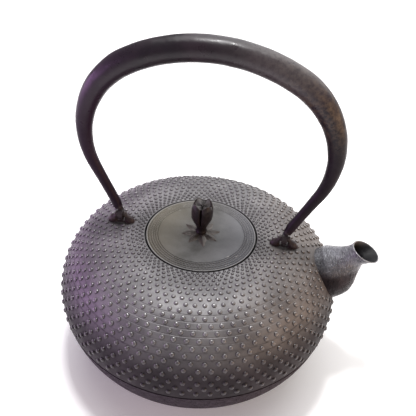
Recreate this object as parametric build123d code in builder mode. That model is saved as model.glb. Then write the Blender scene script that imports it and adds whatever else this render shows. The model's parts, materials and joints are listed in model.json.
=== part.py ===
"""Cast iron tetsubin kettle: dotted body, spout, two lugs, hooped handle and a lid with a bud knob.

Millimetres. The origin is the centre of the base on the table and +Z is up. Both lugs and the hoop of
the handle stand along the XZ plane, and the spout points to +X, turned a little from that plane.
"""

import os
from math import cos, pi, radians, sin, sqrt

from build123d import *

# ---- body ----
BODY_RADIUS = 95.0  # bare wall at the widest ring
DOT_HEIGHT = 1.1  # above the groove, the outer wall here is the envelope over the dots
WALL = 3.4  # bare wall
WIDEST_Z = 57.5  # height of the widest ring
SHOULDER_RADIUS = 41.3  # arc of the bare wall above the widest ring
BELLY_RADIUS = 61.0  # arc of the bare wall below it
SHOULDER_CENTRE = BODY_RADIUS - SHOULDER_RADIUS
BELLY_CENTRE = BODY_RADIUS - BELLY_RADIUS
GROOVE_Z = WIDEST_Z - 10.5  # lower edge of the dotted wall
FLOOR_Z = 4.0  # inside of the base
MOUTH_Z = WIDEST_Z + 41.0
MOUTH_RADIUS = 37.6
LEDGE_DEPTH = 3.4  # the lid lies on a ledge this far down
LEDGE_RADIUS = 33.6
LEDGE_THICKNESS = 3.0

# ---- spout: sections from root to mouth ----
SPOUT_TURN = 2.6  # degrees from the XZ plane, towards +Y
SPOUT_SECTIONS = (  # (distance from the Z axis, height over the widest ring, rise in degrees,
    #                 radius across, radius up, wall)
    (74.0, 17.2, 10.0, 16.8, 14.4, 4.5),
    (87.0, 20.2, 26.0, 18.2, 17.0, 4.0),
    (94.0, 25.8, 42.0, 17.1, 16.5, 3.2),
    (98.6, 32.6, 53.0, 11.8, 11.6, 2.4),
    (102.4, 37.9, 61.0, 8.5, 8.5, 1.9),
    (106.0, 40.3, 66.0, 8.6, 8.6, 1.5),
    (109.7, 42.6, 69.0, 9.9, 9.9, 0.9),
)
CAST_SINK = 2.0  # the spout's root and the lugs' feet stand this deep in the dotted wall

# ---- lid, knob ----
LID_RADIUS = 37.0
LID_THICKNESS = 3.4
LID_CROWN = 0.6  # the middle stands this much above the edge
SKIRT_RADIUS = 33.0  # ring under the lid, cast with it
SKIRT_WALL = 2.0
SKIRT_DEPTH = 6.5
SHANK_RADIUS = 1.9
RUNNING_FIT = 0.08
SEAT_THICKNESS = 1.2
SEAT_RAYS = 8
SEAT_REACH = 13.6
SEAT_CORE = 5.0
SEAT_FIRST_RAY = -73.5
KNOB_PLAY = 0.1  # under the knob, and again under the washer
BUD_PROFILE = (  # (radius, height above the seat) of the collar and the bud
    (4.6, 0.0),
    (4.9, 1.2),
    (3.9, 2.8),
    (4.6, 6.1),
    (7.2, 13.2),
    (7.0, 18.2),
    (5.4, 24.2),
)
BUD_DISH = 2.2  # depth of the hollow between the petals' tips
WASHER_RADIUS = 5.0
WASHER_THICKNESS = 1.0
RIVET_RADIUS = 3.2
RIVET_DEPTH = 2.0
RIVET_TAPER = 35.0

# ---- lugs and handle ----
LUG_X = 55.5
BAR_Z = WIDEST_Z + 47.5  # axis of the two bars that the handle turns on
BAR_RADIUS = 2.0
LUG_CROWN_Z = BAR_Z + 2.4
LUG_SHOULDER_Z = BAR_Z - 2.6  # the feet's outer ends are rounded from here up
LUG_ROOT_Z = WIDEST_Z + 35.0
LUG_LENGTH = 18.0
LUG_SPLAY = 0.8  # each foot's root reaches this much further out
LUG_CORNER = 5.4  # length of the rounded end, along X
LUG_EDGE = 2.0  # rounding of the crown's long edges
LUG_THICKNESS = 6.6
LUG_GAP = 5.8  # between a lug's two feet
BAR_ROOT = 1.0  # the bar runs this far into each foot
HANDLE_LEAN = 4.35  # degrees from upright, towards +Y
HANDLE_TOP = 120.3  # middle of the tube above the bars
CROWN_RADIUS = 106.0
CROWN_ANGLE = 27.8
SIDE_RADIUS = 54.0
SIDE_ANGLE = 89.8
LEG_LENGTH = 33.6
TUBE_CROWN_RADIUS = 8.05
TUBE_END_RADIUS = 3.3
TAPER_START = 50.0  # the tube tapers between these distances from its middle
TAPER_END = 158.0
TUBE_WALL = 1.6
TUBE_STATIONS = 16  # sections on each side of the middle
HOOK_CLEARANCE = 0.35
HOOK_THICKNESS = 1.8
HOOK_WIDTH = 3.6
HOOK_PLUG = 9.0  # length of the hook's shank in the tube
PLUG_RADIUS = 2.3  # wider than the tube's bore at its ends
HOOK_OPENING = ((0.0, 0.0), (9.0, 1.5), (9.0, 9.0), (4.5, 9.0))  # wedge cut from the hook's ring


def save(builder, name):
    """Label a finished piece and write its STEP."""
    builder.part.label = name
    export_step(builder.part, f"parts/{name}.step")


def arc_radius(centre, radius, z, side=1):
    """Distance from the Z axis of a wall arc at height z, on its outer (1) or inner (-1) side."""
    return centre + side * sqrt(radius**2 - (z - WIDEST_Z) ** 2)


def arc_middle(centre, radius, angle):
    """Point of a wall arc at an angle from the horizontal."""
    return centre + radius * cos(radians(angle)), WIDEST_Z + radius * sin(radians(angle))


def wall_outline(shell):
    """Draw the dotted part of the wall from the groove to the mouth, `shell` outside the bare wall.

    The dots die out at the mouth, so all these outlines keep their distance from its edge too.
    """
    belly = BELLY_RADIUS + shell
    shoulder = SHOULDER_RADIUS + shell
    start = (arc_radius(BELLY_CENTRE, belly, GROOVE_Z), GROOVE_Z)
    widest = (BODY_RADIUS + shell, WIDEST_Z)
    top = (SHOULDER_CENTRE, WIDEST_Z + shoulder)
    end = (MOUTH_RADIUS, MOUTH_Z + shell - DOT_HEIGHT)
    ThreePointArc(start, arc_middle(BELLY_CENTRE, belly, -5), widest)
    ThreePointArc(widest, arc_middle(SHOULDER_CENTRE, shoulder, 45), top)
    Line(top, end)
    return start, end


def spout_plane(reach, height, rise):
    """Plane of a spout section, its normal rising outwards."""
    turn = radians(SPOUT_TURN)
    slope = radians(rise)
    return Plane(
        origin=(reach * cos(turn), reach * sin(turn), WIDEST_Z + height),
        x_dir=(-sin(turn), cos(turn), 0),
        z_dir=(cos(slope) * cos(turn), cos(slope) * sin(turn), sin(slope)),
    )


os.makedirs("parts", exist_ok=True)

# ---- envelope of the wall that the root of the spout and the feet of the lugs are sunk into ----
with BuildPart() as sunk_core:
    with BuildSketch(Plane.XZ):
        with BuildLine():
            low, high = wall_outline(DOT_HEIGHT - CAST_SINK)
            Polyline(high, (0, high[1]), (0, low[1]), low)
        make_face()
    revolve(axis=Axis.Z)

# ---- spout ----
with BuildPart() as spout_envelope:
    for reach, height, rise, across, up, _ in SPOUT_SECTIONS:
        with BuildSketch(spout_plane(reach, height, rise)):
            Ellipse(across, up)
    loft()

with BuildPart() as spout_bore:
    for reach, height, rise, across, up, wall in SPOUT_SECTIONS:
        with BuildSketch(spout_plane(reach, height, rise)):
            Ellipse(across - wall, up - wall)
    loft()

with BuildPart() as spout:
    add(spout_envelope.part)
    add(spout_bore.part, mode=Mode.SUBTRACT)
    add(sunk_core.part, mode=Mode.SUBTRACT)
save(spout, "spout")


# ---- lugs ----
def make_lug(side):
    """Cast loop: two feet joined by a round bar along X that the hook of the handle goes round."""
    middle = side * LUG_X
    half = LUG_LENGTH / 2
    foot = half + LUG_SPLAY
    corner_x = half - LUG_CORNER * (1 - cos(pi / 4))
    corner_z = LUG_SHOULDER_Z + (LUG_CROWN_Z - LUG_SHOULDER_Z) * sin(pi / 4)
    with BuildPart() as lug:
        with BuildSketch(Plane.XZ.offset(-LUG_THICKNESS / 2)):
            with BuildLine():
                Polyline(
                    (middle - half, LUG_SHOULDER_Z),
                    (middle - foot, LUG_ROOT_Z),
                    (middle + foot, LUG_ROOT_Z),
                    (middle + half, LUG_SHOULDER_Z),
                )
                ThreePointArc(
                    (middle + half, LUG_SHOULDER_Z),
                    (middle + corner_x, corner_z),
                    (middle + half - LUG_CORNER, LUG_CROWN_Z),
                )
                Line((middle + half - LUG_CORNER, LUG_CROWN_Z), (middle - half + LUG_CORNER, LUG_CROWN_Z))
                ThreePointArc(
                    (middle - half + LUG_CORNER, LUG_CROWN_Z),
                    (middle - corner_x, corner_z),
                    (middle - half, LUG_SHOULDER_Z),
                )
            make_face()
        extrude(amount=LUG_THICKNESS)
        fillet(lug.edges().filter_by(GeomType.LINE).filter_by(Axis.X).group_by(Axis.Z)[-1], LUG_EDGE)
        with BuildSketch(Plane.XZ.offset(-LUG_THICKNESS)):
            with Locations((middle, LUG_CROWN_Z)):
                Rectangle(LUG_GAP, 2 * (LUG_CROWN_Z - LUG_ROOT_Z))
        extrude(amount=2 * LUG_THICKNESS, mode=Mode.SUBTRACT)
        with BuildSketch(Plane.YZ.offset(middle - LUG_GAP / 2 - BAR_ROOT)):
            with Locations((0, BAR_Z)):
                Circle(BAR_RADIUS)
        extrude(amount=LUG_GAP + 2 * BAR_ROOT)
        add(sunk_core.part, mode=Mode.SUBTRACT)
    return lug


lug_left = make_lug(-1)
lug_right = make_lug(1)
save(lug_left, "lug_left")
save(lug_right, "lug_right")

# ---- body ----
with BuildPart() as kettle_body:
    with BuildSketch(Plane.XZ):
        with BuildLine():
            low, high = wall_outline(DOT_HEIGHT)
            bare = (arc_radius(BELLY_CENTRE, BELLY_RADIUS, GROOVE_Z), GROOVE_Z)
            foot = (arc_radius(BELLY_CENTRE, BELLY_RADIUS, 0), 0)
            Line(low, bare)
            ThreePointArc(bare, arc_middle(BELLY_CENTRE, BELLY_RADIUS, -40), foot)
            Polyline(foot, (0, 0), (0, high[1]), high)
        make_face()
    revolve(axis=Axis.Z)
    # cavity under the shoulder and over the floor
    with BuildSketch(Plane.XZ):
        with BuildLine():
            inner_shoulder = SHOULDER_RADIUS - WALL
            inner_belly = BELLY_RADIUS - WALL
            ledge_z = MOUTH_Z - LEDGE_DEPTH - LEDGE_THICKNESS
            ceiling = (arc_radius(SHOULDER_CENTRE, inner_shoulder, ledge_z, -1), ledge_z)
            widest = (BODY_RADIUS - WALL, WIDEST_Z)
            floor = (arc_radius(BELLY_CENTRE, inner_belly, FLOOR_Z), FLOOR_Z)
            ThreePointArc(ceiling, arc_middle(SHOULDER_CENTRE, inner_shoulder, 60), widest)
            ThreePointArc(widest, arc_middle(BELLY_CENTRE, inner_belly, -40), floor)
            Polyline(floor, (0, FLOOR_Z), (0, ledge_z), ceiling)
        make_face()
    revolve(axis=Axis.Z, mode=Mode.SUBTRACT)
    # opening and the ledge in it
    with BuildSketch(Plane.XY.offset(ledge_z - 1)):
        Circle(LEDGE_RADIUS)
    extrude(amount=LEDGE_THICKNESS + LEDGE_DEPTH + 2, mode=Mode.SUBTRACT)
    with BuildSketch(Plane.XY.offset(MOUTH_Z - LEDGE_DEPTH)):
        Circle(MOUTH_RADIUS)
    extrude(amount=LEDGE_DEPTH + 1, mode=Mode.SUBTRACT)
    # seats of the cast-on pieces, and the way through the wall into the spout
    add(spout.part, mode=Mode.SUBTRACT)
    add(spout_bore.part, mode=Mode.SUBTRACT)
    add(lug_left.part, mode=Mode.SUBTRACT)
    add(lug_right.part, mode=Mode.SUBTRACT)
save(kettle_body, "kettle_body")

# ---- lid: disc, skirt, knob seat, washer and rivet ----
lid_bottom = MOUTH_Z - LEDGE_DEPTH
lid_top = lid_bottom + LID_THICKNESS
with BuildPart() as lid:
    with BuildSketch(Plane.XZ):
        with BuildLine():
            Polyline(
                (0, lid_top + LID_CROWN),
                (0, lid_bottom),
                (LID_RADIUS, lid_bottom),
                (LID_RADIUS, lid_top),
            )
            ThreePointArc(
                (LID_RADIUS, lid_top),
                (LID_RADIUS / 2, lid_top + 0.75 * LID_CROWN),
                (0, lid_top + LID_CROWN),
            )
        make_face()
    revolve(axis=Axis.Z)
    with BuildSketch(Plane.XY.offset(lid_bottom - SKIRT_DEPTH)):
        Circle(SKIRT_RADIUS)
        Circle(SKIRT_RADIUS - SKIRT_WALL, mode=Mode.SUBTRACT)
    extrude(amount=SKIRT_DEPTH)
    with BuildSketch(Plane.XY.offset(lid_bottom - 1)):
        Circle(SHANK_RADIUS + RUNNING_FIT)
    extrude(amount=LID_THICKNESS + 3, mode=Mode.SUBTRACT)
save(lid, "lid")

seat_bottom = lid_top + LID_CROWN
seat_top = seat_bottom + SEAT_THICKNESS
with BuildPart() as knob_seat:
    with BuildSketch(Plane.XY.offset(seat_bottom)):
        Circle(SEAT_CORE)
        with BuildLine():
            points = []
            for ray in range(SEAT_RAYS):
                middle = SEAT_FIRST_RAY + ray * 360 / SEAT_RAYS
                for reach, turn in ((SEAT_REACH, 0), (SEAT_CORE, 180 / SEAT_RAYS)):
                    angle = radians(middle + turn)
                    points.append((reach * cos(angle), reach * sin(angle)))
            Polyline(*points, close=True)
        make_face()
        Circle(SHANK_RADIUS + RUNNING_FIT, mode=Mode.SUBTRACT)
    extrude(amount=SEAT_THICKNESS)
save(knob_seat, "knob_seat")

with BuildPart() as rivet_washer:
    with BuildSketch(Plane.XY.offset(lid_bottom - WASHER_THICKNESS)):
        Circle(WASHER_RADIUS)
        Circle(SHANK_RADIUS + RUNNING_FIT, mode=Mode.SUBTRACT)
    extrude(amount=WASHER_THICKNESS)
save(rivet_washer, "rivet_washer")

# ---- knob: bud, collar, and the shank riveted under the washer ----
knob_bottom = seat_top + KNOB_PLAY
rivet_top = lid_bottom - WASHER_THICKNESS - KNOB_PLAY
with BuildPart() as knob:
    with BuildSketch(Plane.XZ):
        with BuildLine():
            outline = [(r, knob_bottom + h) for r, h in BUD_PROFILE]
            rim_radius, rim_z = outline[-1]
            Spline(*outline)
            Polyline(
                (rim_radius, rim_z),
                (0, rim_z - BUD_DISH),
                (0, knob_bottom),
                outline[0],
            )
        make_face()
    revolve(axis=Axis.Z)
    with BuildSketch(Plane.XY.offset(rivet_top)):
        Circle(SHANK_RADIUS)
    extrude(amount=knob_bottom - rivet_top + 1)
    with BuildSketch(Plane.XY.offset(rivet_top)):
        Circle(RIVET_RADIUS)
    extrude(amount=-RIVET_DEPTH, taper=RIVET_TAPER)
save(knob, "knob")

# ---- handle: hollow hoop and the hooks in its ends ----
lean = radians(HANDLE_LEAN)
handle_normal = Vector(0, -cos(lean), sin(lean))
handle_plane = Plane(origin=(0, 0, BAR_Z), x_dir=(1, 0, 0), z_dir=handle_normal)
with BuildLine(handle_plane) as half_hoop:
    crown_arc = JernArc((0, HANDLE_TOP), (1, 0), CROWN_RADIUS, -CROWN_ANGLE)
    side_arc = JernArc(crown_arc @ 1, crown_arc % 1, SIDE_RADIUS, -SIDE_ANGLE)
    Line(side_arc @ 1, (side_arc @ 1) + (side_arc % 1) * LEG_LENGTH)
half_wire = half_hoop.wires()[0]


def tube_radius(distance):
    """Outer radius of the tube at a distance along it from its middle."""
    share = min(max((distance - TAPER_START) / (TAPER_END - TAPER_START), 0), 1)
    swell = (1 + cos(pi * share)) / 2
    return TUBE_END_RADIUS + (TUBE_CROWN_RADIUS - TUBE_END_RADIUS) * swell


def hoop_plane(fraction, side):
    """Section plane at a fraction of one half of the hoop, its normal running towards +X."""
    point = half_wire @ fraction
    course = half_wire % fraction
    return Plane(
        origin=(side * point.X, point.Y, point.Z),
        x_dir=handle_normal,
        z_dir=(course.X, side * course.Y, side * course.Z),
    )


def hoop_loft(inset):
    """Solid along the whole hoop, `inset` inside the tube's outer wall."""
    fractions = [step / TUBE_STATIONS for step in range(TUBE_STATIONS + 1)]
    stations = [(f, -1) for f in reversed(fractions[1:])] + [(f, 1) for f in fractions]
    with BuildPart() as solid:
        for fraction, side in stations:
            with BuildSketch(hoop_plane(fraction, side)):
                Circle(tube_radius(fraction * half_wire.length) - inset)
        loft()
    return solid.part


hoop_outside = hoop_loft(0)
hoop_bore = hoop_loft(TUBE_WALL)
with BuildPart() as handle_tube:
    add(hoop_outside)
    add(hoop_bore, mode=Mode.SUBTRACT)
    for side in (-1, 1):
        with BuildSketch(hoop_plane(1, side)):
            Circle(PLUG_RADIUS)
        extrude(amount=-side * HOOK_PLUG, mode=Mode.SUBTRACT)
save(handle_tube, "handle_tube")


def make_hook(side):
    """Open ring round the lug's bar, with a shank that fills the tube's end."""
    inner = BAR_RADIUS + HOOK_CLEARANCE
    outer = inner + HOOK_THICKNESS
    ring_plane = Plane(origin=(side * LUG_X, 0, BAR_Z), x_dir=-handle_normal, z_dir=(1, 0, 0))
    leg_end = hoop_plane(1, side)
    seat_plane = Plane(origin=leg_end.origin, x_dir=handle_normal, z_dir=-side * leg_end.z_dir)
    neck_plane = Plane(
        origin=(side * LUG_X, sin(lean) * inner, BAR_Z + cos(lean) * inner),
        x_dir=handle_normal,
        z_dir=(0, sin(lean), cos(lean)),
    )
    with BuildPart() as hook:
        with BuildSketch(ring_plane):
            Circle(outer)
            Circle(inner, mode=Mode.SUBTRACT)
            Polygon(*HOOK_OPENING, align=None, mode=Mode.SUBTRACT)
        extrude(amount=HOOK_WIDTH / 2, both=True)
        with BuildSketch(neck_plane):
            Circle(HOOK_WIDTH / 2)
        with BuildSketch(seat_plane):
            Circle(PLUG_RADIUS)
        loft()
        with BuildSketch(seat_plane):
            Circle(PLUG_RADIUS)
        extrude(amount=HOOK_PLUG)
        with BuildSketch(ring_plane):
            Circle(inner)
        extrude(amount=HOOK_WIDTH, both=True, mode=Mode.SUBTRACT)
    return hook


save(make_hook(-1), "handle_hook_left")
save(make_hook(1), "handle_hook_right")
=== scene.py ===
"""Looks of the cast iron kettle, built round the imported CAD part. Metres; shapes below are in millimetres."""

import json
import random
from math import acos, asin, cos, degrees, exp, hypot, pi, radians, sin, sqrt

import bpy
from mathutils import Matrix, Vector, noise


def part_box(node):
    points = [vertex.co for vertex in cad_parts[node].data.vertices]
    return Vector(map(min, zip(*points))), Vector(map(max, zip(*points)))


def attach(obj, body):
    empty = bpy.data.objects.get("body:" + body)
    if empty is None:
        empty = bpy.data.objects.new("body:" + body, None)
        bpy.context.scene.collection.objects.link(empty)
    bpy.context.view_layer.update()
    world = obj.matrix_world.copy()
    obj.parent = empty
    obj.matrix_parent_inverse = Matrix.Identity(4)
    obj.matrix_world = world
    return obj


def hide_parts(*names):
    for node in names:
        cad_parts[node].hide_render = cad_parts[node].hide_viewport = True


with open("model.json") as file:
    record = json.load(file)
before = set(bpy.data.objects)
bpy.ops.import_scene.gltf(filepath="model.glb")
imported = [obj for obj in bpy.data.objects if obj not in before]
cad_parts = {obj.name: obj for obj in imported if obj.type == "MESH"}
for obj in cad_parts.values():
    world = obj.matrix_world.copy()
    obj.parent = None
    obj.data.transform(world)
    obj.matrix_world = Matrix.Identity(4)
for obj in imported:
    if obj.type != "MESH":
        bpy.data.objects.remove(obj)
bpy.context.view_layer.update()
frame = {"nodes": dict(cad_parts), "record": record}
MM = 0.001
draw = random.Random(7)

# ---- where things are, from the frame ----
body_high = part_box("kettle_body")[1]
lid_low, lid_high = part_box("lid")
seat_low, seat_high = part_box("knob_seat")
knob_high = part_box("knob")[1]
lug_low, lug_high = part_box("lug_right")
BODY_TOP = body_high.z / MM
SEAT_BOTTOM = seat_low.z / MM
SEAT_TOP = seat_high.z / MM
KNOB_TOP = knob_high.z / MM
LID_RADIUS = lid_high.x / MM
LUG_X = (lug_low.x + lug_high.x) / 2 / MM
JOINTS = {joint["name"]: joint for joint in frame["record"]["behaviour"]["joints"]}
BAR_Z = JOINTS["handle_tilt"]["pos_m"][2] / MM

# ---- body ----
DOT_HEIGHT = 1.1
BODY_RADIUS = body_high.x / MM - DOT_HEIGHT
SHOULDER = 41.3
BELLY = 61.0
SHOULDER_CENTRE = BODY_RADIUS - SHOULDER
BELLY_CENTRE = BODY_RADIUS - BELLY
WIDEST_Z = BODY_TOP - DOT_HEIGHT - SHOULDER
GROOVE_Z = WIDEST_Z - 10.5
GROOVE_DEPTH = 0.65
WALL = 3.4
FLOOR_Z = 4.0
MOUTH_Z = WIDEST_Z + 41.0
MOUTH_RADIUS = 37.6
LEDGE_RADIUS = 33.6
LEDGE_Z = MOUTH_Z - 3.4
LEDGE_UNDER = LEDGE_Z - 3.0
TURN_STEPS = 360
BELLY_STEPS = 26
CAVITY_STEPS = 22  # over the widest ring
CAVITY_BELLY_STEPS = 14  # under it

# ---- rows of dots ----
DOTS_PER_ROW = 72
FIRST_ROW = -6.1  # degrees along the shoulder's arc
ROW_STEP = 6.6
ROW_CLOSING = 0.033  # the steps get this much shorter, times the row number squared
ARC_ROWS = 17
FLAT_ROWS = 5
FLAT_STEP = 3.9  # first step between rows on the flat part round the mouth
FLAT_SHRINK = 0.82
DOT_RADIUS = 1.6
DOT_COUNT = 11  # sides of a dot
FLAT_DOT_SHRINK = 0.92
DOT_WANDER = 0.16  # degrees a dot may stand off its even place
LUG_CLEAR_ALONG = 11.2  # half sizes of the patch without dots round a lug
LUG_CLEAR_ACROSS = 4.8
LINED_ROWS = range(5, 12)  # a scribed line runs above each of these
LINE_DEPTH = 0.2
LINE_REACH = 1.1  # degrees of the arc a scribed line takes up on either side
# (degrees from the line, depth)
LINE_SECTION = ((-0.65, 0.0), (-0.4, 0.0), (-0.15, LINE_DEPTH), (0.15, LINE_DEPTH), (0.4, 0.0), (0.65, 0.0))
ARC_STEP = 1.5  # degrees between points of the plain arc

# ---- spout: reach, height over the widest ring, rise, radius across, radius up, wall ----
SPOUT_TURN = radians(2.6)
SPOUT_SECTIONS = (
    (74.0, 17.2, 10.0, 16.8, 14.4, 4.5),
    (87.0, 20.2, 26.0, 18.2, 17.0, 4.0),
    (94.0, 25.8, 42.0, 17.1, 16.5, 3.2),
    (98.6, 32.6, 53.0, 11.8, 11.6, 2.4),
    (102.4, 37.9, 61.0, 8.5, 8.5, 1.9),
    (106.0, 40.3, 66.0, 8.6, 8.6, 1.5),
    (109.7, 42.6, 69.0, 9.9, 9.9, 0.9),
)
SPOUT_ALONG = 44
SPOUT_STEPS = 72
BORE_STEPS = 25
SPOUT_SINK = 1.6  # how far the root starts inside the wall

# ---- lugs ----
BAR_RADIUS = 2.0
LUG_LOBE = (  # (along X, height over the wall, half width)
    (2.7, 6.4, 1.7),
    (3.1, 6.6, 2.2),
    (3.7, 6.0, 2.5),
    (4.6, 4.7, 2.7),
    (6.0, 4.1, 2.75),
    (7.2, 3.5, 2.5),
    (8.2, 2.6, 2.0),
    (8.9, 1.4, 1.3),
    (9.3, 0.2, 0.4),
)
LUG_SINK = 2.6  # how far the lobes and the pad reach into the wall
PAD_REACH = 9.6
PAD_TIP = 0.2  # half width of the pad at its ends
PAD_SWELL = 4.6  # how much wider it gets on each side towards its middle
PAD_HALF_STEPS = 12
BAR_STATIONS = (-3.6, -1.8, 0.0, 1.8, 3.6)
LENS_COUNT = 32

# ---- handle ----
LEAN = radians(4.35)
HOOP_TOP = 120.3
CROWN_RADIUS = 106.0
CROWN_ANGLE = radians(27.8)
SIDE_RADIUS = 54.0
SIDE_ANGLE = radians(89.8)
LEG = 33.6
TUBE_CROWN = 8.05
TUBE_END = 3.3
TAPER_START = 50.0
TAPER_END = 158.0
PLUG_RADIUS = 2.3
PLUG_INSET = 1.2
NOTCH_DEPTH = 0.75  # on the tube's inner side at each end
NOTCH_FULL = 2.6  # how far from the end it keeps its depth
NOTCH_GONE = 3.2  # and where it has run out
HALF_HOOP = CROWN_RADIUS * CROWN_ANGLE + SIDE_RADIUS * SIDE_ANGLE + LEG

# ---- lid ----
LID_DROP = 0.6  # how much lower the rim is than the middle
LID_STEPS = 150
LID_RINGS = (0.79, 0.83, 0.87, 0.915, 0.96)  # shares of the radius with a turned line
LID_DOT_RINGS = (0.81, 0.85, 0.892, 0.937)  # shares of the radius with a ring of dots
LID_DOTS = 96
LID_DOT_RADIUS = 0.5
LID_DOT_HEIGHT = 0.34
SKIRT_OUTSIDE = 33.0
SKIRT_INSIDE = 31.0

# ---- star seat and knob ----
STAR_FIRST = -73.5  # degrees
STAR_REACHES = (14.4, 13.2, 12.9, 13.3, 12.8, 13.2, 13.0, 13.4)
PETALS = 4
FRONT_SLIT = 270  # degrees, the widest slit
FRONT_SPREAD = 16
MOUTH_OF_BUD = 5.9
BUD_STEPS = 54
BUD_COUNT = 120
DISH_RINGS = ((0.84, 0.4), (0.66, 1.4), (0.45, 2.1), (0.2, 2.4))  # (share of the mouth, depth)
DISH_ROWS = 3  # rows of faces with the inside painted lighter for light falling in from above


# ------------------------------------------------------------------ mesh helpers
def piece(name, points, faces, material, body, node=None, crease=40):
    """Make a mesh piece from points in millimetres, riding on a CAD body."""
    mesh = bpy.data.meshes.new(name)
    mesh.from_pydata([tuple(c * MM for c in p) for p in points], [], faces)
    mesh.update()
    mesh.shade_smooth()
    mesh.set_sharp_from_angle(angle=radians(crease))
    obj = bpy.data.objects.new(name, mesh)
    bpy.context.scene.collection.objects.link(obj)
    mesh.materials.append(material)
    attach(obj, body)
    if node:
        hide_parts(*node)
    return obj


def turned(profile, steps=TURN_STEPS):
    """Closed surface of revolution of a profile that starts and ends on the Z axis."""
    points = [(0, 0, profile[0][1])]
    faces = []
    rings = profile[1:-1]
    for r, z in rings:
        points += [(r * cos(2 * pi * k / steps), r * sin(2 * pi * k / steps), z) for k in range(steps)]
    points.append((0, 0, profile[-1][1]))
    last = len(points) - 1
    for k in range(steps):
        n = (k + 1) % steps
        faces.append((0, 1 + n, 1 + k))
        for row in range(len(rings) - 1):
            a = 1 + row * steps
            b = a + steps
            faces.append((a + k, a + n, b + n, b + k))
        a = 1 + (len(rings) - 1) * steps
        faces.append((last, a + k, a + n))
    return points, faces


def skin(rings, closed=False):
    """Surface over rings of equal length, joined last to first if closed, else capped at both ends."""
    count = len(rings[0])
    points = [p for ring in rings for p in ring]
    faces = []
    pairs = len(rings) if closed else len(rings) - 1
    for row in range(pairs):
        a = row * count
        b = ((row + 1) % len(rings)) * count
        for k in range(count):
            n = (k + 1) % count
            faces.append((a + k, a + n, b + n, b + k))
    if not closed:
        for ring, flip in ((0, True), (len(rings) - 1, False)):
            middle = sum((Vector(p) for p in rings[ring]), Vector()) / count
            points.append(tuple(middle))
            for k in range(count):
                n = (k + 1) % count
                a = ring * count + k
                b = ring * count + n
                faces.append((len(points) - 1, b, a) if flip else (len(points) - 1, a, b))
    return points, faces


def smooth_row(rows, at):
    """Catmull-Rom value of a table of rows at a fractional index."""
    i = min(max(int(at), 0), len(rows) - 2)
    t = at - i
    p1 = rows[i]
    p2 = rows[i + 1]
    p0 = rows[i - 1] if i > 0 else [2 * a - b for a, b in zip(p1, p2)]
    p3 = rows[i + 2] if i + 2 < len(rows) else [2 * b - a for a, b in zip(p1, p2)]
    return [
        0.5 * (2 * b + (c - a) * t + (2 * a - 5 * b + 4 * c - d) * t * t + (3 * b - a - 3 * c + d) * t**3)
        for a, b, c, d in zip(p0, p1, p2, p3)
    ]


def ease(a, b, x):
    """Smooth step from 0 at a to 1 at b."""
    t = min(max((x - a) / (b - a), 0), 1)
    return t * t * (3 - 2 * t)


def rough(point, size, seed):
    """Repeatable noise from -1 to 1 with features of a size in millimetres."""
    return noise.noise(Vector(point) / size + Vector((seed, 2 * seed, 3 * seed)))


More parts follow.
